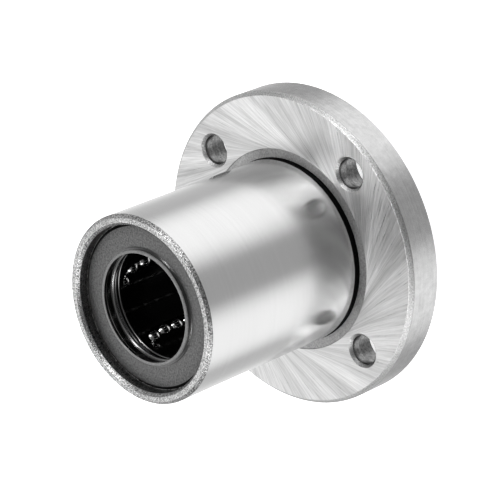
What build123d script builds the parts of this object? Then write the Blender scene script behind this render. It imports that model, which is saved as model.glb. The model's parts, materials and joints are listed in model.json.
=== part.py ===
from build123d import *
import os
from math import acos, degrees, pi, sin

# Flanged linear ball bearing for a 16 mm shaft, in millimetres.
# The bore runs along Z, and the origin is the centre of the flange's back face, with the nose pointing up.
# Sizes are built outwards from the shaft, so that the sleeve comes to 28 mm and the flange to 48 mm.

# Driving dimensions: shaft, balls and the rows that they run in
shaft_diameter = 16.0
ball_diameter = 2.38
ball_gap = 0.03  # least gap between two balls, where the track turns
balls_in_turn = 3
circuit_count = 5
first_circuit_angle = -2.4  # of the first loaded row, from +X
shaft_clearance = 0.02  # between the shaft and the loaded balls
return_rise = 1.15  # the returning row runs this much further from the axis than the loaded row
race_clearance = 0.03  # between a loaded ball and the hardened race
track_clearance = 0.10  # between a ball and the channel that leads it

# Driving dimensions: sleeve and flange
overall_length = 37.0
turn_relief = 0.05  # room round the balls where they turn, past the return grooves
pocket_step = 0.65  # shoulder between the turn relief and the seal pocket
pocket_wall = 1.65  # sleeve wall outside the seal pocket
race_lead_in = 0.3
nose_chamfer = 0.5
pocket_chamfer = 0.45
flange_thickness = 6.0
flange_front_chamfer = 0.6
flange_back_chamfer = 0.4
corner_groove_width = 0.9
corner_groove_depth = 0.4
face_relief_width = 1.4  # ring beside the body that the grinding wheel can't reach
face_relief_depth = 0.1

# Driving dimensions: screw holes
bolt_count = 4
bolt_inset = 5.0  # from the body's surface to the bolt circle
bolt_margin = 5.0  # from the bolt circle to the flange's rim
bolt_hole_diameter = 4.5
bolt_hole_chamfer = 0.25
head_seat_diameter = 7.5
head_seat_chamfer = 0.2
head_seat_floor = 1.9  # flange left under a screw's head

# Driving dimensions: retainer
retainer_bore_clearance = 0.35
retainer_race_clearance = 0.16
retainer_end_wall = 0.6  # least wall beyond the turns
retainer_chamfer = 0.3

# Driving dimensions: retaining rings and seals, counted inwards from each end
seal_recess = 1.7
seal_thickness = 1.6
seal_pocket_clearance = 0.02
seal_shoulder_width = 0.38
seal_shoulder_height = 0.15
seal_back_chamfer = 0.2
lip_clearance = 0.05
lip_collar_height = 0.6
lip_collar_thickness = 0.43
lip_collar_draft = 0.22
lip_band = 0.45
lip_undercut = 0.4  # the seal's bore opens this much behind the lip
stack_gap = 0.05  # between seal, ring and retainer
ring_thickness = 0.6
ring_groove_depth = 0.55
ring_setback = 0.25  # the ring's bore stands this far outside the retainer's bore
ring_groove_clearance = 0.05
ring_gap = 3.0  # between the ends of the split ring

# Balls and their loop: two straight rows joined by half circles, all in one plane
shaft_radius = shaft_diameter / 2
ball_radius = ball_diameter / 2
turn_radius = (ball_diameter + ball_gap) / (2 * sin(pi / (2 * balls_in_turn)))
ball_pitch = pi * turn_radius / balls_in_turn
channel_radius = ball_radius + track_clearance
loaded_row_radius = shaft_radius + shaft_clearance + ball_radius
return_row_radius = loaded_row_radius + return_rise
row_angle = degrees(
    acos(
        (loaded_row_radius**2 + return_row_radius**2 - (2 * turn_radius) ** 2)
        / (2 * loaded_row_radius * return_row_radius)
    )
)

# Lengths along the axis
end_stack = seal_recess + seal_thickness + ring_thickness + 2 * stack_gap
retainer_length = overall_length - 2 * end_stack
room_for_rows = retainer_length - 2 * (turn_radius + channel_radius + retainer_end_wall)
balls_in_row = int(room_for_rows / ball_pitch)
row_length = balls_in_row * ball_pitch
mid_height = overall_length / 2

# Radii of the sleeve, from the race outwards
race_radius = loaded_row_radius + ball_radius + race_clearance
relief_radius = return_row_radius + channel_radius + turn_relief
pocket_radius = relief_radius + pocket_step
ring_groove_radius = pocket_radius + ring_groove_depth
body_radius = pocket_radius + pocket_wall
bolt_circle_radius = body_radius + bolt_inset
flange_radius = bolt_circle_radius + bolt_margin
first_bolt_angle = 45.0
retainer_inner_radius = shaft_radius + retainer_bore_clearance
retainer_outer_radius = race_radius - retainer_race_clearance

os.makedirs("parts", exist_ok=True)


def write(piece, label):
    """Names a finished piece and writes its STEP file."""
    piece.part.label = label
    export_step(piece.part, f"parts/{label}.step")


def circuit_plane(index):
    """The plane of one ball loop: local x runs from the loaded row to the returning row, local y along the bore."""
    angle = first_circuit_angle + index * 360 / circuit_count
    loaded_row = Vector(loaded_row_radius, 0, mid_height).rotate(Axis.Z, angle)
    return_row = Vector(return_row_radius, 0, mid_height).rotate(Axis.Z, angle + row_angle)
    across = (return_row - loaded_row).normalized()
    return Plane(origin=loaded_row, x_dir=across, z_dir=across.cross(Vector(0, 0, 1)))


# Outer sleeve with its flange, turned in one piece
ring_seat = seal_recess + seal_thickness + stack_gap + ring_thickness
half_row = row_length / 2
with BuildPart() as outer_sleeve:
    with BuildSketch(Plane.XZ) as section:
        with BuildLine():
            Polyline(
                (race_radius, mid_height),
                (race_radius, mid_height + half_row - race_lead_in),
                (race_radius + race_lead_in, mid_height + half_row),
                (relief_radius, mid_height + half_row),
                (relief_radius, overall_length - ring_seat),
                (ring_groove_radius, overall_length - ring_seat),
                (ring_groove_radius, overall_length - ring_seat + ring_thickness),
                (pocket_radius, overall_length - ring_seat + ring_thickness),
                (pocket_radius, overall_length - pocket_chamfer),
                (pocket_radius + pocket_chamfer, overall_length),
                (body_radius - nose_chamfer, overall_length),
                (body_radius, overall_length - nose_chamfer),
                (body_radius, flange_thickness + corner_groove_width),
                (body_radius - corner_groove_depth, flange_thickness + corner_groove_width - corner_groove_depth),
                (body_radius - corner_groove_depth, flange_thickness - face_relief_depth),
                (body_radius + face_relief_width, flange_thickness - face_relief_depth),
                (body_radius + face_relief_width, flange_thickness),
                (flange_radius - flange_front_chamfer, flange_thickness),
                (flange_radius, flange_thickness - flange_front_chamfer),
                (flange_radius, flange_back_chamfer),
                (flange_radius - flange_back_chamfer, 0),
                (pocket_radius + pocket_chamfer, 0),
                (pocket_radius, pocket_chamfer),
                (pocket_radius, ring_seat - ring_thickness),
                (ring_groove_radius, ring_seat - ring_thickness),
                (ring_groove_radius, ring_seat),
                (relief_radius, ring_seat),
                (relief_radius, mid_height - half_row),
                (race_radius + race_lead_in, mid_height - half_row),
                (race_radius, mid_height - half_row + race_lead_in),
                close=True,
            )
        make_face()
    revolve(axis=Axis.Z)
    # axial grooves that give the returning balls room behind the races
    with BuildSketch(Plane.XY.offset(mid_height)):
        with PolarLocations(return_row_radius, circuit_count, start_angle=first_circuit_angle + row_angle):
            Circle(channel_radius)
    extrude(amount=half_row, both=True, mode=Mode.SUBTRACT)
    # screw holes, with the seats for the heads in the back face
    back_face = Plane(origin=(0, 0, 0), x_dir=(1, 0, 0), z_dir=(0, 0, -1))
    with Locations(back_face):
        with PolarLocations(bolt_circle_radius, bolt_count, start_angle=first_bolt_angle):
            CounterBoreHole(
                radius=bolt_hole_diameter / 2,
                counter_bore_radius=head_seat_diameter / 2,
                counter_bore_depth=flange_thickness - head_seat_floor,
                depth=flange_thickness,
            )
    rims = edges().filter_by(GeomType.CIRCLE)
    front_rims = rims.filter_by_position(Axis.Z, flange_thickness, flange_thickness)
    back_rims = rims.filter_by_position(Axis.Z, 0, 0)
    chamfer(front_rims.filter_by(lambda rim: rim.radius < bolt_hole_diameter), bolt_hole_chamfer)
    chamfer(back_rims.filter_by(lambda rim: rim.radius < head_seat_diameter), head_seat_chamfer)
write(outer_sleeve, "outer_sleeve")


# Retainer: a moulded tube with a closed channel for each ball loop, open outwards and, at the loaded row, inwards
with BuildPart() as retainer:
    with BuildSketch(Plane.XY.offset(mid_height - retainer_length / 2)):
        Circle(retainer_outer_radius)
        Circle(retainer_inner_radius, mode=Mode.SUBTRACT)
    extrude(amount=retainer_length)
    end_edges = edges().filter_by(GeomType.CIRCLE)
    chamfer(end_edges, retainer_chamfer)
    for index in range(circuit_count):
        loop_plane = circuit_plane(index)
        with BuildSketch(loop_plane):
            with Locations((turn_radius, 0)):
                SlotCenterToCenter(row_length, 2 * (turn_radius + channel_radius), rotation=90)
                SlotCenterToCenter(
                    row_length,
                    2 * (turn_radius - channel_radius),
                    rotation=90,
                    mode=Mode.SUBTRACT,
                )
        extrude(amount=ball_diameter, mode=Mode.SUBTRACT)
        with BuildLine(loop_plane) as track:
            Line((0, -half_row), (0, half_row))
            ThreePointArc((0, half_row), (turn_radius, half_row + turn_radius), (2 * turn_radius, half_row))
            Line((2 * turn_radius, half_row), (2 * turn_radius, -half_row))
            ThreePointArc((2 * turn_radius, -half_row), (turn_radius, -half_row - turn_radius), (0, -half_row))
        with BuildSketch(Plane(origin=track.line @ 0, z_dir=(0, 0, 1))):
            Circle(channel_radius)
        sweep(path=track.line, mode=Mode.SUBTRACT)
write(retainer, "retainer")


# Balls, in groups that keep together as they run: each loop's two straight rows and its two turns
def ball_group(spots, label):
    """Writes one group of equal balls, each a separate solid, at the given places."""
    with BuildPart() as balls:
        with Locations(*spots):
            Sphere(ball_radius)
    write(balls, label)


for index in range(circuit_count):
    loop_plane = circuit_plane(index)
    row_steps = [(step + 0.5) * ball_pitch - half_row for step in range(balls_in_row)]
    turn_steps = [180 * (step + 0.5) / balls_in_turn for step in range(balls_in_turn)]
    loaded_spots = [loop_plane.from_local_coords((0, step, 0)) for step in row_steps]
    return_spots = [loop_plane.from_local_coords((2 * turn_radius, step, 0)) for step in row_steps]
    front_centre = Vector(turn_radius, half_row, 0)
    rear_centre = Vector(turn_radius, -half_row, 0)
    arm = Vector(turn_radius, 0, 0)
    front_spots = [loop_plane.from_local_coords(front_centre + arm.rotate(Axis.Z, step)) for step in turn_steps]
    rear_spots = [loop_plane.from_local_coords(rear_centre + arm.rotate(Axis.Z, -step)) for step in turn_steps]
    ball_group(loaded_spots, f"loaded_balls_{index + 1}")
    ball_group(return_spots, f"return_balls_{index + 1}")
    ball_group(front_spots, f"front_turn_balls_{index + 1}")
    ball_group(rear_spots, f"rear_turn_balls_{index + 1}")


# Each end holds the same ring and seal, built on a plane at that end that looks outwards
front_end = Plane.XY.offset(overall_length)
rear_end = Plane(origin=(0, 0, 0), x_dir=(1, 0, 0), z_dir=(0, 0, -1))


def retaining_ring(end, label):
    """Split spring ring in the groove behind a seal, which keeps the retainer in the sleeve."""
    ring_outer_radius = ring_groove_radius - ring_groove_clearance
    with BuildPart() as ring:
        with BuildSketch(end.offset(-ring_seat)):
            Circle(ring_outer_radius)
            Circle(retainer_inner_radius + ring_setback, mode=Mode.SUBTRACT)
            with Locations((0, ring_outer_radius)):
                Rectangle(ring_gap, 2 * ring_outer_radius, mode=Mode.SUBTRACT)
        extrude(amount=ring_thickness)
    write(ring, label)


def lip_seal(end, label):
    """Moulded rubber seal, pressed into its pocket, with a lip in a raised collar round the shaft."""
    outer_radius = pocket_radius - seal_pocket_clearance
    lip_radius = shaft_radius + lip_clearance
    back = -seal_recess - seal_thickness
    face = -seal_recess
    side = Plane(origin=end.origin, x_dir=(1, 0, 0), z_dir=end.z_dir.cross(Vector(1, 0, 0)) * -1)
    with BuildPart() as seal:
        with BuildSketch(side):
            with BuildLine():
                Polyline(
                    (lip_radius + lip_undercut, back),
                    (outer_radius - seal_back_chamfer, back),
                    (outer_radius, back + seal_back_chamfer),
                    (outer_radius, face - seal_shoulder_height),
                    (outer_radius - seal_shoulder_width, face),
                    (lip_radius + lip_collar_thickness + lip_collar_draft, face),
                    (lip_radius + lip_collar_thickness, face + lip_collar_height),
                    (lip_radius, face + lip_collar_height),
                    (lip_radius, face + lip_collar_height - lip_band),
                    (lip_radius + lip_undercut, face + lip_collar_height - lip_band - lip_undercut),
                    close=True,
                )
            make_face()
        revolve(axis=Axis.Z)
    write(seal, label)


retaining_ring(front_end, "front_retaining_ring")
retaining_ring(rear_end, "rear_retaining_ring")
lip_seal(front_end, "front_seal")
lip_seal(rear_end, "rear_seal")
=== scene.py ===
import bmesh
import bpy
import json
from math import cos, exp, hypot, pi, radians, sin
from mathutils import Euler, Matrix, Vector


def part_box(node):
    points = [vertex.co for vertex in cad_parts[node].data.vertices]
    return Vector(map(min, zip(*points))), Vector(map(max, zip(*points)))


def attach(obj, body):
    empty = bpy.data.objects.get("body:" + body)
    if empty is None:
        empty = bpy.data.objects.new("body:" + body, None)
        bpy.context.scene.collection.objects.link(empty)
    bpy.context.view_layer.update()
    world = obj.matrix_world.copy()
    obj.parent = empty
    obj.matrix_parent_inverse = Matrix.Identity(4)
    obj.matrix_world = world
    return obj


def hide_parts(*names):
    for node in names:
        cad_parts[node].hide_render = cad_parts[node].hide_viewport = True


# Flanged linear ball bearing: a ground steel sleeve with rubber lip seals, a black retainer and
# bright balls. Sizes are in millimetres and angles in degrees, and turn into metres and radians
# where a mesh or a node needs them.

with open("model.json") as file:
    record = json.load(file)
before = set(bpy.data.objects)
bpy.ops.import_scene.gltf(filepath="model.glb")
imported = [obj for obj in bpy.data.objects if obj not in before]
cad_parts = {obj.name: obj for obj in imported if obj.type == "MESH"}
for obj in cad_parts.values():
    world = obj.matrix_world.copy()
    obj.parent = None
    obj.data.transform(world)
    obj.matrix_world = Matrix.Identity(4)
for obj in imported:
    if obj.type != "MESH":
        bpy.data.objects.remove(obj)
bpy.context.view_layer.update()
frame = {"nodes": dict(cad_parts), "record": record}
mm = 0.001

mounts = {mount["name"]: mount for mount in frame["record"]["mounts"]}
flangeFace = mounts["flange_bolts"]["pos_m"][2] / mm
bodyRadius = mounts["housing_spigot"]["dims"]["r_mm"]
shaftRadius = mounts["shaft_bore"]["dims"]["r_mm"]
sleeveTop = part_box("outer_sleeve")[1] / mm
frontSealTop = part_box("front_seal")[1] / mm
frontRingLow, frontRingTop = (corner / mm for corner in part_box("front_retaining_ring"))
retainerLow, retainerTop = (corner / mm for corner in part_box("retainer"))


# sRGB hex to linear colour, with the figures of the sRGB standard
def toLinear(hexColour):
    channels = [int(hexColour[place:place + 2], 16) / 255 for place in (1, 3, 5)]
    return [c / 12.92 if c <= 0.04045 else ((c + 0.055) / 1.055) ** 2.4 for c in channels] + [1.0]


# adds a node, sets its properties or sockets, and links its inputs
def addNode(tree, kind, settings=None, links=None):
    node = tree.nodes.new(kind)
    for name, value in (settings or {}).items():
        if isinstance(name, str) and hasattr(node, name):
            setattr(node, name, value)
        else:
            node.inputs[name].default_value = value
    for name, source in (links or {}).items():
        tree.links.new(source, node.inputs[name])
    return node


# noise scale, in features per metre, for a feature of this size in millimetres
def perSize(size):
    return 1 / (size * mm)


# a new object in the scene, from a bmesh and its materials
def addPiece(name, bm, finishes):
    mesh = bpy.data.meshes.new(name)
    bm.to_mesh(mesh)
    bm.free()
    for finish in finishes:
        mesh.materials.append(finish)
    piece = bpy.data.objects.new(name, mesh)
    bpy.context.scene.collection.objects.link(piece)
    return piece


# Camera: the photograph's viewing angle, with the nose turned to the lower left
cameraSet = {
    "lens": 204.6,  # focal length
    "azimuth": 24.43,  # round Z, from the -Y side
    "elevation": 42.57,
    "roll": -112.06,
    "distance": 414.9,
    "aim": (1.82, 0.83, 12.98),  # the point that it looks at
}


def makeCamera():
    camera = bpy.data.objects.new("photoCamera", bpy.data.cameras.new("photoCamera"))
    bpy.context.scene.collection.objects.link(camera)
    camera.data.lens = cameraSet["lens"]
    turn = Euler((radians(90 - cameraSet["elevation"]), 0, radians(cameraSet["azimuth"]))).to_matrix()
    turn = turn @ Matrix.Rotation(radians(cameraSet["roll"]), 3, "Z")
    place = (Vector(cameraSet["aim"]) + turn.col[2] * cameraSet["distance"]) * mm
    camera.matrix_world = Matrix.Translation(place) @ turn.to_4x4()
    bpy.context.scene.camera = camera
    print("camera placed")


# Studio: tall soft panels left, right and behind, as seen from the camera, and the room dark on the
# camera's side. Each panel has one brightness towards the floor and one above the horizon. Two broad
# lamps show in the chamfers, and two small strong ones in the bore. Azimuths count from the camera.
# A panel or a lamp has its full strength out to its core angle, and fades to nothing at its edge.
studio = {
    "roomBelow": 0.52,
    "roomAbove": 0.12,
    "horizon": (-0.2, 0.3),  # sines of the elevations where the light starts and ends its change
    "panels": [
        {"azimuth": -71, "core": 6, "edge": 48, "below": 0.92, "above": 0.2},
        {"azimuth": 62, "core": 8, "edge": 52, "below": 0.98, "above": 0.2},
        {"azimuth": 180, "core": 0, "edge": 44, "below": 0.32, "above": 0.65},
        {"azimuth": 180, "core": 35, "edge": 100, "below": 0.22, "above": 0.5},
    ],
    "lamps": [
        {"azimuth": -79, "elevation": 36, "core": 8, "edge": 22, "strength": 2.0},
        {"azimuth": 62, "elevation": 36, "core": 8, "edge": 22, "strength": 2.0},
        {"azimuth": -110, "elevation": 61, "core": 3, "edge": 7, "strength": 27},
        {"azimuth": 82, "elevation": 60, "core": 3, "edge": 7, "strength": 27},
    ],
    "underfoot": 0.85,
    "overhead": 0.8,
    "overheadEdge": (0.8, 1.0),  # sines again, from no effect to the full one
    "underfootEdge": (0.8, 1.0),
    "floorGlow": 0.85,
    "floorColour": "#e6e6e6",
    "floorSpan": 3000,
    "floorDrop": 0.02,  # keeps the table clear of the flange's back
}


def makeStudio():
    world = bpy.data.worlds.new("softStudio")
    bpy.context.scene.world = world
    world.use_nodes = True
    tree = world.node_tree
    tree.nodes.clear()
    direction = addNode(tree, "ShaderNodeTexCoord").outputs["Generated"]
    height = addNode(tree, "ShaderNodeSeparateXYZ", links={0: direction}).outputs["Z"]
    flat = addNode(tree, "ShaderNodeVectorMath", {"operation": "MULTIPLY", 1: (1, 1, 0)}, {0: direction})
    level = addNode(tree, "ShaderNodeVectorMath", {"operation": "NORMALIZE"}, {0: flat.outputs[0]})
    above = addNode(
        tree,
        "ShaderNodeMapRange",
        {
            "interpolation_type": "SMOOTHSTEP",
            "From Min": studio["horizon"][0],
            "From Max": studio["horizon"][1],
        },
        {"Value": height},
    ).outputs[0]
    light = addNode(
        tree,
        "ShaderNodeMapRange",
        {"To Min": studio["roomBelow"], "To Max": studio["roomAbove"]},
        {"Value": above},
    ).outputs[0]
    for panel in studio["panels"]:
        angle = radians(cameraSet["azimuth"] - 90 + panel["azimuth"])
        facing = addNode(
            tree,
            "ShaderNodeVectorMath",
            {"operation": "DOT_PRODUCT", 1: (cos(angle), sin(angle), 0)},
            {0: level.outputs[0]},
        )
        spread = addNode(
            tree,
            "ShaderNodeMapRange",
            {
                "interpolation_type": "SMOOTHSTEP",
                "From Min": cos(radians(panel["edge"])),
                "From Max": cos(radians(panel["core"])),
            },
            {"Value": facing.outputs["Value"]},
        )
        power = addNode(
            tree,
            "ShaderNodeMapRange",
            {"To Min": panel["below"], "To Max": panel["above"]},
            {"Value": above},
        )
        light = addNode(
            tree,
            "ShaderNodeMath",
            {"operation": "MULTIPLY_ADD"},
            {0: spread.outputs[0], 1: power.outputs[0], 2: light},
        ).outputs[0]
    down = addNode(tree, "ShaderNodeMath", {"operation": "MULTIPLY", 1: -1.0}, {0: height}).outputs[0]
    poles = (
        (height, studio["overheadEdge"], studio["overhead"]),
        (down, studio["underfootEdge"], studio["underfoot"]),
    )
    for towards, edge, power in poles:
        reach = addNode(
            tree,
            "ShaderNodeMapRange",
            {"interpolation_type": "SMOOTHSTEP", "From Min": edge[0], "From Max": edge[1]},
            {"Value": towards},
        )
        light = addNode(
            tree,
            "ShaderNodeMix",
            {"data_type": "FLOAT", "B": power},
            {"Factor": reach.outputs[0], "A": light},
        ).outputs[0]
    for lamp in studio["lamps"]:
        angle = radians(cameraSet["azimuth"] - 90 + lamp["azimuth"])
        turn = Euler((0, -radians(lamp["elevation"]), angle))
        aimed = addNode(
            tree,
            "ShaderNodeVectorMath",
            {"operation": "DOT_PRODUCT", 1: turn.to_matrix().col[0]},
            {0: direction},
        )
        spread = addNode(
            tree,
            "ShaderNodeMapRange",
            {
                "interpolation_type": "SMOOTHSTEP",
                "From Min": cos(radians(lamp["edge"])),
                "From Max": cos(radians(lamp["core"])),
                "To Max": lamp["strength"],
            },
            {"Value": aimed.outputs["Value"]},
        )
        light = addNode(
            tree,
            "ShaderNodeMath",
            {"operation": "ADD"},
            {0: light, 1: spread.outputs[0]},
        ).outputs[0]
    white = (1, 1, 1, 1)
    room = addNode(tree, "ShaderNodeBackground", {"Color": white}, {"Strength": light})
    # the room itself shows plain white behind the object
    seen = addNode(tree, "ShaderNodeLightPath").outputs["Is Camera Ray"]
    plain = addNode(tree, "ShaderNodeBackground", {"Color": white, "Strength": 1.0})
    shown = addNode(tree, "ShaderNodeMixShader", links={0: seen, 1: room.outputs[0], 2: plain.outputs[0]})
    addNode(tree, "ShaderNodeOutputWorld", links={"Surface": shown.outputs[0]})

    bm = bmesh.new()
    bmesh.ops.create_grid(bm, x_segments=1, y_segments=1, size=studio["floorSpan"] / 2 * mm)
    bmesh.ops.translate(bm, verts=bm.verts, vec=(0, 0, -studio["floorDrop"] * mm))
    # matt white acrylic table, lit from under: only contact shadows show on it
    acrylic = startMaterial("acrylicWhiteTable", {
        "Base Color": toLinear(studio["floorColour"]),
        "Roughness": 1.0,
        "Emission Color": white,
        "Emission Strength": studio["floorGlow"],
    })[0]
    floor = addPiece("floor", bm, [acrylic])
    # the steel mirrors the lit room below the horizon, so the table stays out of its reflections
    floor.visible_diffuse = False
    floor.visible_glossy = False
    floor.visible_transmission = False
    floor.visible_shadow = False
    bpy.context.scene.view_settings.view_transform = "Standard"
    print("studio lit")


# Materials. Object coordinates are the part's own frame, so the bore's axis is Z.
# Noise runs mostly from 0.3 to 0.7, and the patterns below spread that from dark to light or from
# smooth to rough. Detail counts the layers of a noise, each finer than the last.
# Of a finish, "spread" is how far noise strays from its middle before it is fully dark or light,
# "grain" the size of a grain, and "depth" the height that the bump gives it.
noiseLow, noiseMiddle, noiseHigh = 0.3, 0.5, 0.7
grainDetail, grainRoughness = 4.0, 0.65
patchDetail = 2.0


# a new material, with settings that go straight onto its shader's sockets
def startMaterial(name, settings):
    material = bpy.data.materials.new(name)
    material.use_nodes = True
    shader = material.node_tree.nodes["Principled BSDF"]
    for socket, value in settings.items():
        shader.inputs[socket].default_value = value
    return material, material.node_tree, shader


groundFinish = {
    "dark": "#c7c7c7",
    "light": "#cfcfcf",
    "lineSpacing": 0.3,
    "lineStretch": 0.02,  # draws the noise out across the axis, so that its lines run round the body
    "lineDepth": 0.0003,
    "lineDetail": 3.0,
    "cloudSize": 9,  # patches that are a little duller
    "smooth": 0.17,
    "dull": 0.24,
    "anisotropy": 0.35,
}


def groundBodySteel():
    # bearing steel, hardened and centreless ground: a soft mirror with faint lines that run round
    # the body. The real lines are about 0.02 mm apart, and are drawn coarser so that they show.
    material, tree, shader = startMaterial("bearingSteelGround", {
        "Metallic": 1.0,
        "Anisotropic": groundFinish["anisotropy"],
    })
    place = addNode(tree, "ShaderNodeTexCoord").outputs["Object"]
    stretch = (groundFinish["lineStretch"], groundFinish["lineStretch"], 1)
    along = addNode(tree, "ShaderNodeVectorMath", {"operation": "MULTIPLY", 1: stretch}, {0: place})
    lines = addNode(
        tree,
        "ShaderNodeTexNoise",
        {"Scale": perSize(groundFinish["lineSpacing"]), "Detail": groundFinish["lineDetail"]},
        {"Vector": along.outputs[0]},
    )
    clouds = addNode(
        tree,
        "ShaderNodeTexNoise",
        {"Scale": perSize(groundFinish["cloudSize"]), "Detail": patchDetail},
        {"Vector": place},
    )
    colour = addNode(
        tree,
        "ShaderNodeMix",
        {"data_type": "RGBA", 6: toLinear(groundFinish["dark"]), 7: toLinear(groundFinish["light"])},
        {0: lines.outputs[0]},
    )
    dullness = addNode(
        tree,
        "ShaderNodeMapRange",
        {
            "From Min": noiseLow,
            "From Max": noiseHigh,
            "To Min": groundFinish["smooth"],
            "To Max": groundFinish["dull"],
        },
        {"Value": clouds.outputs[0]},
    )
    bump = addNode(
        tree,
        "ShaderNodeBump",
        {"Strength": 1.0, "Distance": groundFinish["lineDepth"] * mm},
        {"Height": lines.outputs[0]},
    )
    # light spreads across the lines, so the tangent stands square to them
    axial = addNode(tree, "ShaderNodeCombineXYZ", {"Z": 1.0})
    tree.links.new(colour.outputs[2], shader.inputs["Base Color"])
    tree.links.new(dullness.outputs[0], shader.inputs["Roughness"])
    tree.links.new(bump.outputs[0], shader.inputs["Normal"])
    tree.links.new(axial.outputs[0], shader.inputs["Tangent"])
    return material


faceFinish = {
    "dark": "#8c8c8c",
    "light": "#f0f0f0",
    "startRadius": 14,  # the circle that the scratches start from
    "leastGap": 0.5,
    "sweep": 0.3,  # how strongly they curve
    "middleRadius": 19,  # where their widths are true
    "fineWidth": 0.3,
    "broadWidth": 2.8,  # width of the bands that they gather in
    "runLength": 4.5,
    "broadShare": 0.45,
    "fineDetail": 5.0,
    "fineRoughness": 0.68,
    "depth": 0.09,
    "smooth": 0.26,
    "dull": 0.42,
    "anisotropy": 0.7,
}


def swirlGroundSteel():
    # the same steel, face ground by a cup wheel: satin, with curved scratches that leave the body along
    # its tangent and straighten up towards the rim. Real scratches are 0.02 to 0.1 mm wide, and are
    # drawn coarser.
    material, tree, shader = startMaterial("bearingSteelFaceGround", {
        "Metallic": 1.0,
        "Anisotropic": faceFinish["anisotropy"],
    })
    place = addNode(tree, "ShaderNodeTexCoord").outputs["Object"]
    split = addNode(tree, "ShaderNodeSeparateXYZ", links={0: place})
    flat = addNode(tree, "ShaderNodeVectorMath", {"operation": "MULTIPLY", 1: (1, 1, 0)}, {0: place})
    radius = addNode(
        tree,
        "ShaderNodeVectorMath",
        {"operation": "LENGTH"},
        {0: flat.outputs[0]},
    ).outputs["Value"]
    angle = addNode(
        tree,
        "ShaderNodeMath",
        {"operation": "ARCTAN2"},
        {0: split.outputs["Y"], 1: split.outputs["X"]},
    )
    # a scratch's angle grows with the logarithm of its distance from the starting circle
    gap = addNode(
        tree,
        "ShaderNodeMath",
        {"operation": "SUBTRACT", 1: faceFinish["startRadius"] * mm},
        {0: radius},
    )
    kept = addNode(
        tree,
        "ShaderNodeMath",
        {"operation": "MAXIMUM", 1: faceFinish["leastGap"] * mm},
        {0: gap.outputs[0]},
    )
    grown = addNode(tree, "ShaderNodeMath", {"operation": "LOGARITHM", 1: exp(1)}, {0: kept.outputs[0]})
    unwound = addNode(
        tree,
        "ShaderNodeMath",
        {"operation": "MULTIPLY_ADD", 1: -faceFinish["sweep"]},
        {0: grown.outputs[0], 2: angle.outputs[0]},
    )
    across = addNode(tree, "ShaderNodeMath", {"operation": "COSINE"}, {0: unwound.outputs[0]})
    up = addNode(tree, "ShaderNodeMath", {"operation": "SINE"}, {0: unwound.outputs[0]})
    # the pattern changes along the radius once in a run length, so a scratch is about that long
    pace = faceFinish["fineWidth"] / faceFinish["runLength"] / faceFinish["middleRadius"] / mm
    ahead = addNode(tree, "ShaderNodeMath", {"operation": "MULTIPLY", 1: pace}, {0: radius})
    wound = addNode(
        tree,
        "ShaderNodeCombineXYZ",
        links={"X": across.outputs[0], "Y": up.outputs[0], "Z": ahead.outputs[0]},
    )
    scratches = addNode(
        tree,
        "ShaderNodeTexNoise",
        {
            "Scale": faceFinish["middleRadius"] / faceFinish["fineWidth"],
            "Detail": faceFinish["fineDetail"],
            "Roughness": faceFinish["fineRoughness"],
        },
        {"Vector": wound.outputs[0]},
    )
    bands = addNode(
        tree,
        "ShaderNodeTexNoise",
        {"Scale": faceFinish["middleRadius"] / faceFinish["broadWidth"], "Detail": patchDetail},
        {"Vector": wound.outputs[0]},
    )
    both = addNode(
        tree,
        "ShaderNodeMix",
        {"data_type": "FLOAT", "Factor": faceFinish["broadShare"]},
        {"A": scratches.outputs[0], "B": bands.outputs[0]},
    )
    shade = addNode(
        tree,
        "ShaderNodeMapRange",
        {"From Min": noiseLow, "From Max": noiseHigh},
        {"Value": both.outputs[0]},
    )
    colour = addNode(
        tree,
        "ShaderNodeMix",
        {"data_type": "RGBA", 6: toLinear(faceFinish["dark"]), 7: toLinear(faceFinish["light"])},
        {0: shade.outputs[0]},
    )
    dullness = addNode(
        tree,
        "ShaderNodeMapRange",
        {
            "From Min": noiseLow,
            "From Max": noiseHigh,
            "To Min": faceFinish["smooth"],
            "To Max": faceFinish["dull"],
        },
        {"Value": scratches.outputs[0]},
    )
    bump = addNode(
        tree,
        "ShaderNodeBump",
        {"Strength": 1.0, "Distance": faceFinish["depth"] * mm},
        {"Height": both.outputs[0]},
    )
    # light spreads across the scratches, so the tangent stands square to them
    swept = addNode(
        tree,
        "ShaderNodeMath",
        {"operation": "MULTIPLY", 1: faceFinish["sweep"]},
        {0: radius},
    )
    lean = addNode(
        tree,
        "ShaderNodeMath",
        {"operation": "ARCTAN2"},
        {0: swept.outputs[0], 1: kept.outputs[0]},
    )
    square = addNode(tree, "ShaderNodeMath", {"operation": "ADD", 1: pi / 2}, {0: lean.outputs[0]})
    tangent = addNode(
        tree,
        "ShaderNodeVectorRotate",
        {"rotation_type": "Z_AXIS"},
        {"Vector": flat.outputs[0], "Angle": square.outputs[0]},
    )
    tree.links.new(colour.outputs[2], shader.inputs["Base Color"])
    tree.links.new(dullness.outputs[0], shader.inputs["Roughness"])
    tree.links.new(bump.outputs[0], shader.inputs["Normal"])
    tree.links.new(tangent.outputs[0], shader.inputs["Tangent"])
    return material


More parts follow.
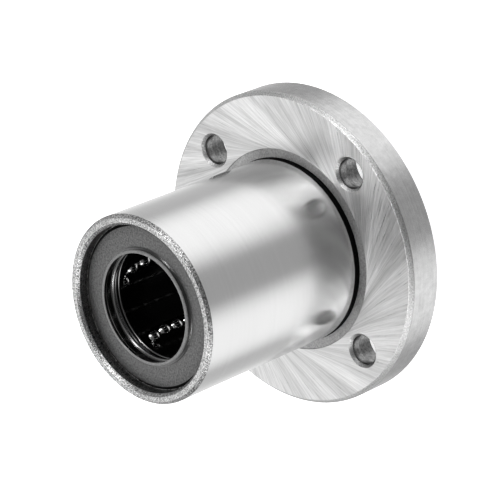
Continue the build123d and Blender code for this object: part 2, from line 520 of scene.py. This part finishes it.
# The rest of the sleeve is turned and not ground. Each place has its tool's grain, and a share of
# lines round the axis.
turnedFinishes = {
    # the flange's rim, turned fine and polished: smooth, with hardly any lines
    "rim": {
        "name": "bearingSteelTurnedRim", "dark": "#aeaeae", "light": "#c6c6c6", "roughness": 0.24,
        "grain": 1.2, "depth": 0.01, "lineShare": 0.3, "spread": 0.2,
    },
    # its front edge, chamfered after grinding: a bright line with a torn grain
    "edge": {
        "name": "bearingSteelTurnedEdge", "dark": "#8c8c8c", "light": "#f6f6f6", "roughness": 0.32,
        "grain": 0.2, "depth": 0.06, "lineShare": 0.2, "spread": 0.2,
    },
    # the nose's flat, tumbled: coarse sparkling grain, drawn at about twice its real size
    "nose": {
        "name": "bearingSteelTumbledNose", "dark": "#464646", "light": "#e8e8e8", "roughness": 0.28,
        "grain": 0.22, "depth": 0.055, "lineShare": 0.1, "spread": 0.14,
    },
    # the nose's chamfers, turned and then tumbled: the same grain, over soft reflections of the room
    "noseEdge": {
        "name": "bearingSteelTumbledEdge", "dark": "#303030", "light": "#e4e4e4", "roughness": 0.25,
        "grain": 0.22, "depth": 0.05, "lineShare": 0.1, "spread": 0.14,
    },
    # the ring beside the body that the wheel can't reach: dull grey
    "unground": {
        "name": "bearingSteelUnground", "dark": "#727272", "light": "#d0d0d0", "roughness": 0.58,
        "grain": 0.25, "depth": 0.07, "lineShare": 0.45, "spread": 0.2,
    },
    # bores and ring grooves, as turned and oily: painted near black as shade, with light specks
    "bored": {
        "name": "bearingSteelBoredShaded", "dark": "#0a0a0a", "light": "#b4b4b4", "roughness": 0.34,
        "grain": 0.22, "depth": 0.07, "lineShare": 0.2, "spread": 0.14,
    },
    # drilled holes: dull mid grey, with faint lines round the drill
    "drilled": {
        "name": "bearingSteelDrilled", "dark": "#3e3e3e", "light": "#9c9c9c", "roughness": 0.22,
        "grain": 0.35, "depth": 0.01, "lineShare": 0.25, "spread": 0.25,
    },
    # the undercut beside the flange, and the corner next to it: painted black, as shade in the crease
    "undercut": {
        "name": "bearingSteelCreaseShade", "dark": "#0c0c0c", "light": "#2c2c2c", "roughness": 0.5,
        "grain": 0.25, "depth": 0.02, "lineShare": 0.2, "spread": 0.2,
    },
}
cutSpacing, cutStretch = 0.25, 0.03  # the tool's lines, drawn out round the axis
# a tumbled skin keeps less light than a ground one where it is seen edge on
edgeOnTint = "#d8d8d8"


def turnedSteel(finish):
    material, tree, shader = startMaterial(finish["name"], {
        "Metallic": 1.0,
        "Roughness": finish["roughness"],
        "Specular Tint": toLinear(edgeOnTint),
    })
    place = addNode(tree, "ShaderNodeTexCoord").outputs["Object"]
    around = addNode(
        tree,
        "ShaderNodeVectorMath",
        {"operation": "MULTIPLY", 1: (cutStretch, cutStretch, 1)},
        {0: place},
    )
    cuts = addNode(
        tree,
        "ShaderNodeTexNoise",
        {"Scale": perSize(cutSpacing), "Detail": patchDetail},
        {"Vector": around.outputs[0]},
    )
    grains = addNode(
        tree,
        "ShaderNodeTexNoise",
        {"Scale": perSize(finish["grain"]), "Detail": grainDetail, "Roughness": grainRoughness},
        {"Vector": place},
    )
    both = addNode(
        tree,
        "ShaderNodeMix",
        {"data_type": "FLOAT", "Factor": finish["lineShare"]},
        {"A": grains.outputs[0], "B": cuts.outputs[0]},
    )
    shade = addNode(
        tree,
        "ShaderNodeMapRange",
        {"From Min": noiseMiddle - finish["spread"], "From Max": noiseMiddle + finish["spread"]},
        {"Value": both.outputs[0]},
    )
    colour = addNode(
        tree,
        "ShaderNodeMix",
        {"data_type": "RGBA", 6: toLinear(finish["dark"]), 7: toLinear(finish["light"])},
        {0: shade.outputs[0]},
    )
    bump = addNode(
        tree,
        "ShaderNodeBump",
        {"Strength": 1.0, "Distance": finish["depth"] * mm},
        {"Height": both.outputs[0]},
    )
    tree.links.new(colour.outputs[2], shader.inputs["Base Color"])
    tree.links.new(bump.outputs[0], shader.inputs["Normal"])
    return material


# Oil films: real oil has an IOR of 1.47, and these have more, so that thin highlights show
thinOil, wetOil = 1.6, 2.4

# Nitrile rubber of the seals. The slots of their meshes are these finishes, in this order.
# Each has a film of oil, and beside the sleeve keeps only a share of its gloss: painted shade of
# the sleeve's wall. "fleck" is how much of the gloss the dark hollows of its grain lose.
rubberFinishes = {
    # moulded against an etched face: dull grey with a fine grain
    "face": {
        "name": "nitrileMoulded", "dark": "#080808", "light": "#3c3c3c", "roughness": 0.4,
        "spread": 0.15, "grain": 0.28, "depth": 0.05, "fleck": 0.45,
        "film": 1.0, "filmRoughness": 0.22, "filmIor": thinOil, "glossInPaintedShade": 0.8,
    },
    # trimmed edges, where the cut rubber is paler
    "trimmed": {
        "name": "nitrileTrimmed", "dark": "#545454", "light": "#7e7e7e", "roughness": 0.5,
        "spread": 0.2, "grain": 0.2, "depth": 0.02, "fleck": 0.0,
        "film": 0.25, "filmRoughness": 0.42, "filmIor": thinOil, "glossInPaintedShade": 1.0,
    },
    # painted highlight: a broken pale line round the outer edge, pale crumbs on black
    "edgeHighlight": {
        "name": "nitrilePaintedHighlight", "dark": "#020202", "light": "#a0a0a0", "roughness": 0.5,
        "spread": 0.08, "grain": 0.5, "depth": 0.05, "fleck": 0.0,
        "film": 0.2, "filmRoughness": 0.42, "filmIor": thinOil, "glossInPaintedShade": 1.0,
    },
    # walls and lips: black, with sharp highlights where wet with oil; on the walls, partly painted shade
    "wetAndShaded": {
        "name": "nitrileWetAndShaded", "dark": "#020202", "light": "#0c0c0c", "roughness": 0.3,
        "spread": 0.2, "grain": 0.4, "depth": 0.004, "fleck": 0.0,
        "film": 1.0, "filmRoughness": 0.12, "filmIor": wetOil, "glossInPaintedShade": 0.05,
    },
}
rubberIor = 1.55
matchedGloss = 0.5  # the specular level at which a surface has the gloss of its own IOR
paintedShadeFrom, paintedShadeTo = 10.1, 11.8  # radii between which the gloss falls to its share in the painted shade


# lets the gloss of a rubber fall beside the sleeve, as painted shade, and in its grain's hollows
def varyGloss(tree, shader, finish, place, shade):
    flat = addNode(tree, "ShaderNodeVectorMath", {"operation": "MULTIPLY", 1: (1, 1, 0)}, {0: place})
    radius = addNode(tree, "ShaderNodeVectorMath", {"operation": "LENGTH"}, {0: flat.outputs[0]})
    # painted shade: between these radii the gloss falls to the finish's share, beside the sleeve's wall
    kept = addNode(
        tree,
        "ShaderNodeMapRange",
        {
            "interpolation_type": "SMOOTHSTEP",
            "From Min": paintedShadeFrom * mm,
            "From Max": paintedShadeTo * mm,
            "To Min": 1.0,
            "To Max": finish["glossInPaintedShade"],
        },
        {"Value": radius.outputs["Value"]},
    )
    # the grain's pale crests catch more of the gloss than its hollows
    flecked = addNode(
        tree,
        "ShaderNodeMapRange",
        {"To Min": 1 - finish["fleck"]},
        {"Value": shade},
    )
    share = addNode(
        tree,
        "ShaderNodeMath",
        {"operation": "MULTIPLY"},
        {0: kept.outputs[0], 1: flecked.outputs[0]},
    )
    film = addNode(
        tree,
        "ShaderNodeMath",
        {"operation": "MULTIPLY", 1: finish["film"]},
        {0: share.outputs[0]},
    )
    gloss = addNode(
        tree,
        "ShaderNodeMath",
        {"operation": "MULTIPLY", 1: matchedGloss},
        {0: share.outputs[0]},
    )
    tree.links.new(film.outputs[0], shader.inputs["Coat Weight"])
    tree.links.new(gloss.outputs[0], shader.inputs["Specular IOR Level"])


def rubber(finish):
    material, tree, shader = startMaterial(finish["name"], {
        "Roughness": finish["roughness"],
        "IOR": rubberIor,
        "Specular IOR Level": matchedGloss,
        "Coat Weight": finish["film"],
        "Coat Roughness": finish["filmRoughness"],
        "Coat IOR": finish["filmIor"],
    })
    place = addNode(tree, "ShaderNodeTexCoord").outputs["Object"]
    grains = addNode(
        tree,
        "ShaderNodeTexNoise",
        {"Scale": perSize(finish["grain"]), "Detail": grainDetail, "Roughness": grainRoughness},
        {"Vector": place},
    )
    shade = addNode(
        tree,
        "ShaderNodeMapRange",
        {"From Min": noiseMiddle - finish["spread"], "From Max": noiseMiddle + finish["spread"]},
        {"Value": grains.outputs[0]},
    )
    colour = addNode(
        tree,
        "ShaderNodeMix",
        {"data_type": "RGBA", 6: toLinear(finish["dark"]), 7: toLinear(finish["light"])},
        {0: shade.outputs[0]},
    )
    bump = addNode(
        tree,
        "ShaderNodeBump",
        {"Strength": 1.0, "Distance": finish["depth"] * mm},
        {"Height": grains.outputs[0]},
    )
    tree.links.new(colour.outputs[2], shader.inputs["Base Color"])
    tree.links.new(bump.outputs[0], shader.inputs["Normal"])
    tree.links.new(bump.outputs[0], shader.inputs["Coat Normal"])
    if finish["glossInPaintedShade"] < 1 or finish["fleck"] > 0:
        varyGloss(tree, shader, finish, place, shade.outputs[0])
    return material


# Finishes with one even colour and a gloss that varies over patches of this size
patchedFinishes = {
    # black acetal, injection moulded: a dark gloss that shows only highlights
    "resin": {
        "name": "acetalMouldedBlack", "colour": "#050505", "metallic": 0.0,
        "patch": 1.2, "smooth": 0.06, "dull": 0.11, "specular": 0.3, "coat": 0.0,
    },
    # the same acetal where oil collects on its ends: a wet gloss
    "oiledResin": {
        "name": "acetalOiledEnds", "colour": "#050505", "metallic": 0.0,
        "patch": 1.2, "smooth": 0.1, "dull": 0.14, "specular": 1.0, "coat": 1.0,
    },
    # spring steel wire, rolled flat and bright: a soft mirror, with a bright line along each edge
    "rolled": {
        "name": "springSteelRolled", "colour": "#8c8c8e", "metallic": 1.0,
        "patch": 0.5, "smooth": 0.14, "dull": 0.24, "specular": 0.5, "coat": 0.0,
    },
    # chrome steel balls, lapped and oiled: a bright mirror
    "lapped": {
        "name": "chromeSteelLapped", "colour": "#cccccc", "metallic": 1.0,
        "patch": 0.8, "smooth": 0.04, "dull": 0.09, "specular": 0.5, "coat": 0.0,
    },
}


def patchedGloss(finish):
    material, tree, shader = startMaterial(finish["name"], {
        "Base Color": toLinear(finish["colour"]),
        "Metallic": finish["metallic"],
        "Specular IOR Level": finish["specular"],
        "Coat Weight": finish["coat"],
        "Coat Roughness": finish["dull"],
        "Coat IOR": wetOil,
    })
    place = addNode(tree, "ShaderNodeTexCoord").outputs["Object"]
    patches = addNode(
        tree,
        "ShaderNodeTexNoise",
        {"Scale": perSize(finish["patch"]), "Detail": patchDetail},
        {"Vector": place},
    )
    dullness = addNode(
        tree,
        "ShaderNodeMapRange",
        {
            "From Min": noiseLow,
            "From Max": noiseHigh,
            "To Min": finish["smooth"],
            "To Max": finish["dull"],
        },
        {"Value": patches.outputs[0]},
    )
    tree.links.new(dullness.outputs[0], shader.inputs["Roughness"])
    return material


# Shapes. Of a piece, "round" is how far from a corner or an edge its rounding starts, "steps" the
# faces round the axis, "sharpAngle" the angle above which an edge stays sharp in the shading, and
# "near" the tolerance when a place is compared.
mergeDistance = 0.0001
flatAngle = 0.5
evenWeight = 90  # large faces lead the shading of their corners


# turns a closed outline of (radius, height) points round Z, with its corners rounded
def spinOutline(bm, outline, steps, rounding, segments):
    corners = [bm.verts.new((radius * mm, 0, height * mm)) for radius, height in outline]
    for here, after in zip(corners, corners[1:] + corners[:1]):
        bm.edges.new((here, after))
    bmesh.ops.bevel(
        bm,
        geom=list(bm.verts),
        offset=rounding * mm,
        segments=segments,
        profile=0.5,
        affect="VERTICES",
        clamp_overlap=True,
        material=-1,
    )
    bmesh.ops.spin(
        bm,
        geom=list(bm.verts) + list(bm.edges),
        cent=(0, 0, 0),
        axis=(0, 0, 1),
        angle=2 * pi,
        steps=steps,
        use_merge=True,
    )
    bmesh.ops.remove_doubles(bm, verts=bm.verts, dist=mergeDistance * mm)
    bmesh.ops.recalc_face_normals(bm, faces=bm.faces)


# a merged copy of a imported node's mesh, with its flat faces whole again
def packedCopy(node):
    bm = bmesh.new()
    bm.from_mesh(frame["nodes"][node].data)
    bmesh.ops.remove_doubles(bm, verts=bm.verts, dist=mergeDistance * mm)
    bmesh.ops.dissolve_limit(bm, angle_limit=radians(flatAngle), verts=bm.verts, edges=bm.edges)
    return bm


# applies a piece's modifiers to its mesh, and shades it smooth up to an angle, with its flat faces
# kept flat
def bakeShape(piece, sharpAngle):
    graph = bpy.context.evaluated_depsgraph_get()
    shape = bpy.data.meshes.new_from_object(piece.evaluated_get(graph))
    piece.modifiers.clear()
    piece.data = shape
    shape.polygons.foreach_set("use_smooth", [True] * len(shape.polygons))
    shape.set_sharp_from_angle(angle=radians(sharpAngle))
    even = piece.modifiers.new("evenShading", "WEIGHTED_NORMAL")
    even.keep_sharp = True
    even.weight = evenWeight
    graph = bpy.context.evaluated_depsgraph_get()
    shaded = bpy.data.meshes.new_from_object(piece.evaluated_get(graph))
    piece.modifiers.clear()
    piece.data = shaded


# Sleeve with its flange: one turned piece
sleeve = {
    "steps": 256,
    "round": 0.07,
    "roundSegments": 3,
    "sharpAngle": 35,
    "noseChamfer": 0.5,
    "pocketChamfer": 0.45,
    "frontChamfer": 0.6,  # on the flange's edge, towards the nose
    "backChamfer": 0.4,
    "grooveWidth": 0.9,  # the undercut in the body beside the flange
    "grooveDepth": 0.4,
    "reliefWidth": 1.4,  # the ring of the flange that isn't ground
    "reliefDepth": 0.1,
    # how far the painted shade of the undercut reaches onto the flange
    "creaseShadeWidth": 0.04,
    "pocketClearance": 0.02,
    "ringClearance": 0.05,
    "turnRelief": 11.7,  # radius of the bore round the turns of the balls
    "raceRadius": 10.43,
    "raceHalf": 10.095,  # half the length of the races
    "raceLeadIn": 0.3,
    "returnRow": 10.36,  # distance of the returning rows from the axis
    "returnGroove": 1.29,  # radius of their grooves
    "firstReturn": 25.3255,  # azimuth of the first of them
    "returnCount": 5,
    "returnSteps": 48,
    "holeSteps": 96,
    "holeRound": 0.04,
    "holeRoundSegments": 2,
    "holeChamfer": 0.4,
    "seatRadius": 3.75,
    "seatFloor": 1.9,
    "seatChamfer": 0.2,
    "firstHole": 45,  # azimuth of the first screw hole
    "past": 0.3,  # how far a drill runs past the metal
    "near": 0.03,
}
sleeveFinishes = ["ground", "faceGround"] + list(turnedFinishes)


# the finish of one face of the spun sleeve, from where it lies
def sleeveFinish(face):
    middle = face.calc_center_median() / mm
    radius = hypot(middle.x, middle.y)
    near = sleeve["near"]
    reliefFloor = flangeFace - sleeve["reliefDepth"] - near
    if middle.z > sleeveTop.z - near and radius > frontSealTop.x:
        return "nose"
    if middle.z > sleeveTop.z - sleeve["noseChamfer"] - near and radius > frontSealTop.x:
        return "noseEdge"
    if radius > sleeveTop.x - near:
        return "rim"
    if radius > sleeveTop.x - sleeve["frontChamfer"] - near and middle.z > near:
        return "edge"
    if middle.z < near and radius > bodyRadius:
        return "faceGround"
    if middle.z > flangeFace - near and radius > bodyRadius + sleeve["reliefWidth"] + near:
        return "faceGround"
    if middle.z > flangeFace + sleeve["grooveWidth"] and radius > bodyRadius - near:
        return "ground"
    if middle.z > reliefFloor and radius > bodyRadius + sleeve["creaseShadeWidth"]:
        return "unground"
    # painted shade: the undercut and the corner beside it are black
    if middle.z > reliefFloor and radius > bodyRadius - sleeve["grooveDepth"] - near:
        return "undercut"
    # painted shade: the pocket's wall, the bore and the grooves are near black
    return "bored"


# the sleeve's closed outline, from the nose down the outside and back up the bore
def sleeveOutline():
    length = sleeveTop.z
    rim = sleeveTop.x
    pocket = frontSealTop.x + sleeve["pocketClearance"]
    ringGroove = frontRingTop.x + sleeve["ringClearance"]
    ringOut = length - frontRingTop.z
    ringIn = length - frontRingLow.z
    race = sleeve["raceRadius"]
    relief = sleeve["turnRelief"]
    raceTop = length / 2 + sleeve["raceHalf"]
    raceLow = length / 2 - sleeve["raceHalf"]
    groove = bodyRadius - sleeve["grooveDepth"]
    outside = [
        (pocket + sleeve["pocketChamfer"], length),
        (bodyRadius - sleeve["noseChamfer"], length),
        (bodyRadius, length - sleeve["noseChamfer"]),
        (bodyRadius, flangeFace + sleeve["grooveWidth"]),
        (groove, flangeFace + sleeve["grooveWidth"] - sleeve["grooveDepth"]),
        (groove, flangeFace - sleeve["reliefDepth"]),
        (bodyRadius + sleeve["creaseShadeWidth"], flangeFace - sleeve["reliefDepth"]),
        (bodyRadius + sleeve["reliefWidth"], flangeFace - sleeve["reliefDepth"]),
        (bodyRadius + sleeve["reliefWidth"], flangeFace),
        (rim - sleeve["frontChamfer"], flangeFace),
        (rim, flangeFace - sleeve["frontChamfer"]),
        (rim, sleeve["backChamfer"]),
        (rim - sleeve["backChamfer"], 0),
        (pocket + sleeve["pocketChamfer"], 0),
    ]
    inside = [
        (pocket, sleeve["pocketChamfer"]),
        (pocket, ringOut),
        (ringGroove, ringOut),
        (ringGroove, ringIn),
        (relief, ringIn),
        (relief, raceLow),
        (race + sleeve["raceLeadIn"], raceLow),
        (race, raceLow + sleeve["raceLeadIn"]),
        (race, raceTop - sleeve["raceLeadIn"]),
        (race + sleeve["raceLeadIn"], raceTop),
        (relief, raceTop),
        (relief, length - ringIn),
        (ringGroove, length - ringIn),
        (ringGroove, length - ringOut),
        (pocket, length - ringOut),
        (pocket, length - sleeve["pocketChamfer"]),
    ]
    return outside + inside


# drills for the screw holes and their head seats, and for the grooves of the returning balls
def sleeveCutters():
    hole = mounts["flange_bolts"]["dims"]["hole_r_mm"]
    circle = mounts["flange_bolts"]["dims"]["pcd_mm"] / 2
    count = mounts["flange_bolts"]["dims"]["count"]
    past = sleeve["past"]
    seatTop = flangeFace - sleeve["seatFloor"]
    drill = [
        (0, flangeFace + past),
        (hole + sleeve["holeChamfer"] + past, flangeFace + past),
        (hole, flangeFace - sleeve["holeChamfer"]),
        (hole, seatTop),
        (sleeve["seatRadius"], seatTop),
        (sleeve["seatRadius"], sleeve["seatChamfer"]),
        (sleeve["seatRadius"] + sleeve["seatChamfer"] + past, -past),
        (0, -past),
    ]
    cut = bmesh.new()
    for index in range(count):
        angle = radians(sleeve["firstHole"] + 360 * index / count)
        bit = bmesh.new()
        spinOutline(bit, drill, sleeve["holeSteps"], sleeve["holeRound"], sleeve["holeRoundSegments"])
        bmesh.ops.translate(bit, verts=bit.verts, vec=Vector((cos(angle), sin(angle), 0)) * circle * mm)
        bitMesh = bpy.data.meshes.new("bit")
        bit.to_mesh(bitMesh)
        bit.free()
        cut.from_mesh(bitMesh)
        bpy.data.meshes.remove(bitMesh)
    for index in range(sleeve["returnCount"]):
        angle = radians(sleeve["firstReturn"] + 360 * index / sleeve["returnCount"])
        row = sleeve["returnRow"]
        middle = Vector((row * cos(angle), row * sin(angle), sleeveTop.z / 2))
        bmesh.ops.create_cone(
            cut,
            cap_ends=True,
            segments=sleeve["returnSteps"],
            radius1=sleeve["returnGroove"] * mm,
            radius2=sleeve["returnGroove"] * mm,
            depth=(2 * sleeve["raceHalf"] + past) * mm,
            matrix=Matrix.Translation(middle * mm),
        )
    for face in cut.faces:
        place = face.calc_center_median() / mm
        finish = "bored"
        if hypot(place.x, place.y) > bodyRadius:
            inChamfer = place.z > flangeFace - sleeve["holeChamfer"] - sleeve["near"]
            finish = "edge" if inChamfer else "drilled"
        face.material_index = sleeveFinishes.index(finish)
    return cut


def makeSleeve():
    bm = bmesh.new()
    spinOutline(bm, sleeveOutline(), sleeve["steps"], sleeve["round"], sleeve["roundSegments"])
    for face in bm.faces:
        face.material_index = sleeveFinishes.index(sleeveFinish(face))
    finishes = [groundBodySteel(), swirlGroundSteel()]
    finishes += [turnedSteel(finish) for finish in turnedFinishes.values()]
    piece = addPiece("ground_sleeve", bm, finishes)
    cutter = addPiece("cutters", sleeveCutters(), finishes)
    drilling = piece.modifiers.new("drilling", "BOOLEAN")
    drilling.operation = "DIFFERENCE"
    drilling.solver = "EXACT"
    drilling.object = cutter
    bakeShape(piece, sleeve["sharpAngle"])
    bpy.data.objects.remove(cutter)
    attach(piece, "bearing_body")
    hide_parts("outer_sleeve")
    print("sleeve turned and drilled", len(piece.data.polygons))


# Lip seals: heights are counted inwards from the sleeve's end
seal = {
    "steps": 192,
    "round": 0.04,
    "roundSegments": 3,
    "sharpAngle": 40,
    "thickness": 1.6,
    "backChamfer": 0.2,
    "shoulderWidth": 0.5,
    "shoulderHeight": 0.2,
    "collarHeight": 0.6,
    "collarThickness": 0.38,
    "collarBevel": 0.14,
    "collarDraft": 0.06,
    "moatWidth": 0.24,  # the shallow groove round the collar's foot
    "moatDepth": 0.12,
    "lipBand": 0.45,  # height of the lip that meets the shaft
    "undercut": 0.4,
    "lipRound": 0.38,  # radius of the second lip, behind it
    "lipSteps": 8,
    "edgeHighlight": 0.11,  # width of the painted highlight round the outer edge
    "near": 0.02,
}


# the finish of one face of a seal, from its radius and its depth below the sleeve's end
def sealFinish(radius, depth, outer, collar):
    recess = sleeveTop.z - frontSealTop.z
    face = recess + seal["collarHeight"]
    if depth < recess + seal["collarBevel"] + seal["near"] and radius > shaftRadius + seal["near"]:
        return "trimmed"
    # painted highlight: a pale broken line along the shoulder's outer edge
    if radius > outer - seal["edgeHighlight"] and depth < face + seal["shoulderHeight"] + seal["round"]:
        return "edgeHighlight"
    # painted shade: the walls round the collar and beside the sleeve are black, beside the sleeve nearly
    # without gloss
    if radius < collar + seal["moatWidth"] or radius > outer - seal["shoulderWidth"]:
        return "wetAndShaded"
    return "face"


def makeSeal(name, node, fromTop, finishes):
    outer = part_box(node)[1].x / mm
    recess = sleeveTop.z - frontSealTop.z
    face = recess + seal["collarHeight"]
    back = face + seal["thickness"]
    crest = shaftRadius + seal["collarThickness"]
    collar = crest + seal["collarBevel"] + seal["collarDraft"]
    outline = [
        (outer - seal["backChamfer"], back),
        (outer, back - seal["backChamfer"]),
        (outer, face + seal["shoulderHeight"]),
        (outer - seal["edgeHighlight"], face + seal["shoulderHeight"]),
        (outer - seal["shoulderWidth"], face),
        (collar + seal["moatWidth"], face),
        (collar, face + seal["moatDepth"]),
        (crest + seal["collarBevel"], recess + seal["collarBevel"]),
        (crest, recess),
        (shaftRadius, recess),
        (shaftRadius, recess + seal["lipBand"]),
        (shaftRadius + seal["undercut"], recess + seal["lipBand"] + seal["undercut"]),
    ]
    # the second lip, a quarter round that faces up into the bore
    for step in range(seal["lipSteps"] + 1):
        angle = radians(90 * step / seal["lipSteps"])
        radius = shaftRadius + seal["undercut"] - seal["lipRound"] * sin(angle)
        outline.append((radius, back - seal["lipRound"] * cos(angle)))
    if fromTop:
        outline = [(radius, sleeveTop.z - depth) for radius, depth in outline]
    bm = bmesh.new()
    spinOutline(bm, outline, seal["steps"], seal["round"], seal["roundSegments"])
    for part in bm.faces:
        middle = part.calc_center_median() / mm
        depth = sleeveTop.z - middle.z if fromTop else middle.z
        finish = sealFinish(hypot(middle.x, middle.y), depth, outer, collar)
        part.material_index = list(rubberFinishes).index(finish)
    piece = addPiece(name, bm, finishes)
    bakeShape(piece, seal["sharpAngle"])
    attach(piece, "bearing_body")
    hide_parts(node)
    print("seal moulded", name)


# Retainer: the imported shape, with its end chamfers made into the small rounded steps of a moulding
retainer = {
    "chamfer": 0.3,
    "stepWidth": 0.75,
    "round": 0.24,
    "roundSegments": 6,
    "oiledDepth": 0.6,  # how far oil reaches from each end
    "sharpAngle": 35,
    "near": 0.02,
}


# the corners of the retainer that lie on one circle
def ringAt(bm, radius, height):
    near = retainer["near"]
    level = [corner for corner in bm.verts if abs(corner.co.z / mm - height) < near]
    return [corner for corner in level if abs(hypot(corner.co.x, corner.co.y) / mm - radius) < near]


# rounds the edges that lie on one circle
def roundRing(bm, radius, height):
    corners = set(ringAt(bm, radius, height))
    edges = [edge for edge in bm.edges if corners.issuperset(edge.verts)]
    bmesh.ops.bevel(
        bm,
        geom=edges,
        offset=retainer["round"] * mm,
        segments=retainer["roundSegments"],
        profile=0.5,
        affect="EDGES",
        clamp_overlap=True,
        material=-1,
    )
    print("retainer edge rounded", radius, height, len(edges))


def makeRetainer():
    bm = packedCopy("retainer")
    bore = min(hypot(corner.co.x, corner.co.y) for corner in bm.verts) / mm
    chamfer = retainer["chamfer"]
    step = bore + retainer["stepWidth"]
    for end, inwards in ((retainerTop.z, -1), (retainerLow.z, 1)):
        middle = end + inwards * chamfer / 2
        tread = end + inwards * chamfer
        bmesh.ops.bisect_plane(
            bm,
            geom=list(bm.verts) + list(bm.edges) + list(bm.faces),
            dist=mergeDistance * mm,
            plane_co=(0, 0, middle * mm),
            plane_no=(0, 0, 1),
        )
        foot = ringAt(bm, bore + chamfer / 2, middle)
        brim = ringAt(bm, bore + chamfer, end)
        for corner in foot:
            corner.co.z = tread * mm
        for corner in foot + brim:
            corner.co.xy = corner.co.xy.normalized() * step * mm
        roundRing(bm, step, end)
        roundRing(bm, bore, tread)
    slots = ["resin", "oiledResin"]
    for part in bm.faces:
        height = part.calc_center_median().z / mm
        fromEnd = min(retainerTop.z - height, height - retainerLow.z)
        finish = "oiledResin" if fromEnd < retainer["oiledDepth"] else "resin"
        part.material_index = slots.index(finish)
    finishes = [patchedGloss(patchedFinishes[finish]) for finish in slots]
    piece = addPiece("moulded_retainer", bm, finishes)
    bakeShape(piece, retainer["sharpAngle"])
    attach(piece, "bearing_body")
    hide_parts("retainer")
    print("retainer moulded", len(piece.data.polygons))


# Retaining rings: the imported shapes, with the rolled edges of flat wire
ring = {
    "round": 0.1,
    "roundSegments": 3,
    "cornerAngle": 45,  # edges that bend more than this are rounded
    "sharpAngle": 35,
}


def makeRing(name, node, finish):
    bm = packedCopy(node)
    bmesh.ops.bevel(
        bm,
        geom=[edge for edge in bm.edges if edge.calc_face_angle(0) > radians(ring["cornerAngle"])],
        offset=ring["round"] * mm,
        segments=ring["roundSegments"],
        profile=0.5,
        affect="EDGES",
        clamp_overlap=True,
        material=-1,
    )
    piece = addPiece(name, bm, [finish])
    bakeShape(piece, ring["sharpAngle"])
    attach(piece, "bearing_body")
    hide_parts(node)
    print("ring rounded", name, len(piece.data.polygons))


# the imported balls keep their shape, and get their finish
def finishBalls():
    lapped = patchedGloss(patchedFinishes["lapped"])
    for name, node in frame["nodes"].items():
        if "balls" in name:
            for slot in node.material_slots:
                slot.material = lapped
    print("balls finished")


makeCamera()
makeStudio()
makeSleeve()
sealRubber = [rubber(finish) for finish in rubberFinishes.values()]
makeSeal("front_lip_seal", "front_seal", True, sealRubber)
makeSeal("rear_lip_seal", "rear_seal", False, sealRubber)
makeRetainer()
rolledSteel = patchedGloss(patchedFinishes["rolled"])
makeRing("front_wire_ring", "front_retaining_ring", rolledSteel)
makeRing("rear_wire_ring", "rear_retaining_ring", rolledSteel)
finishBalls()
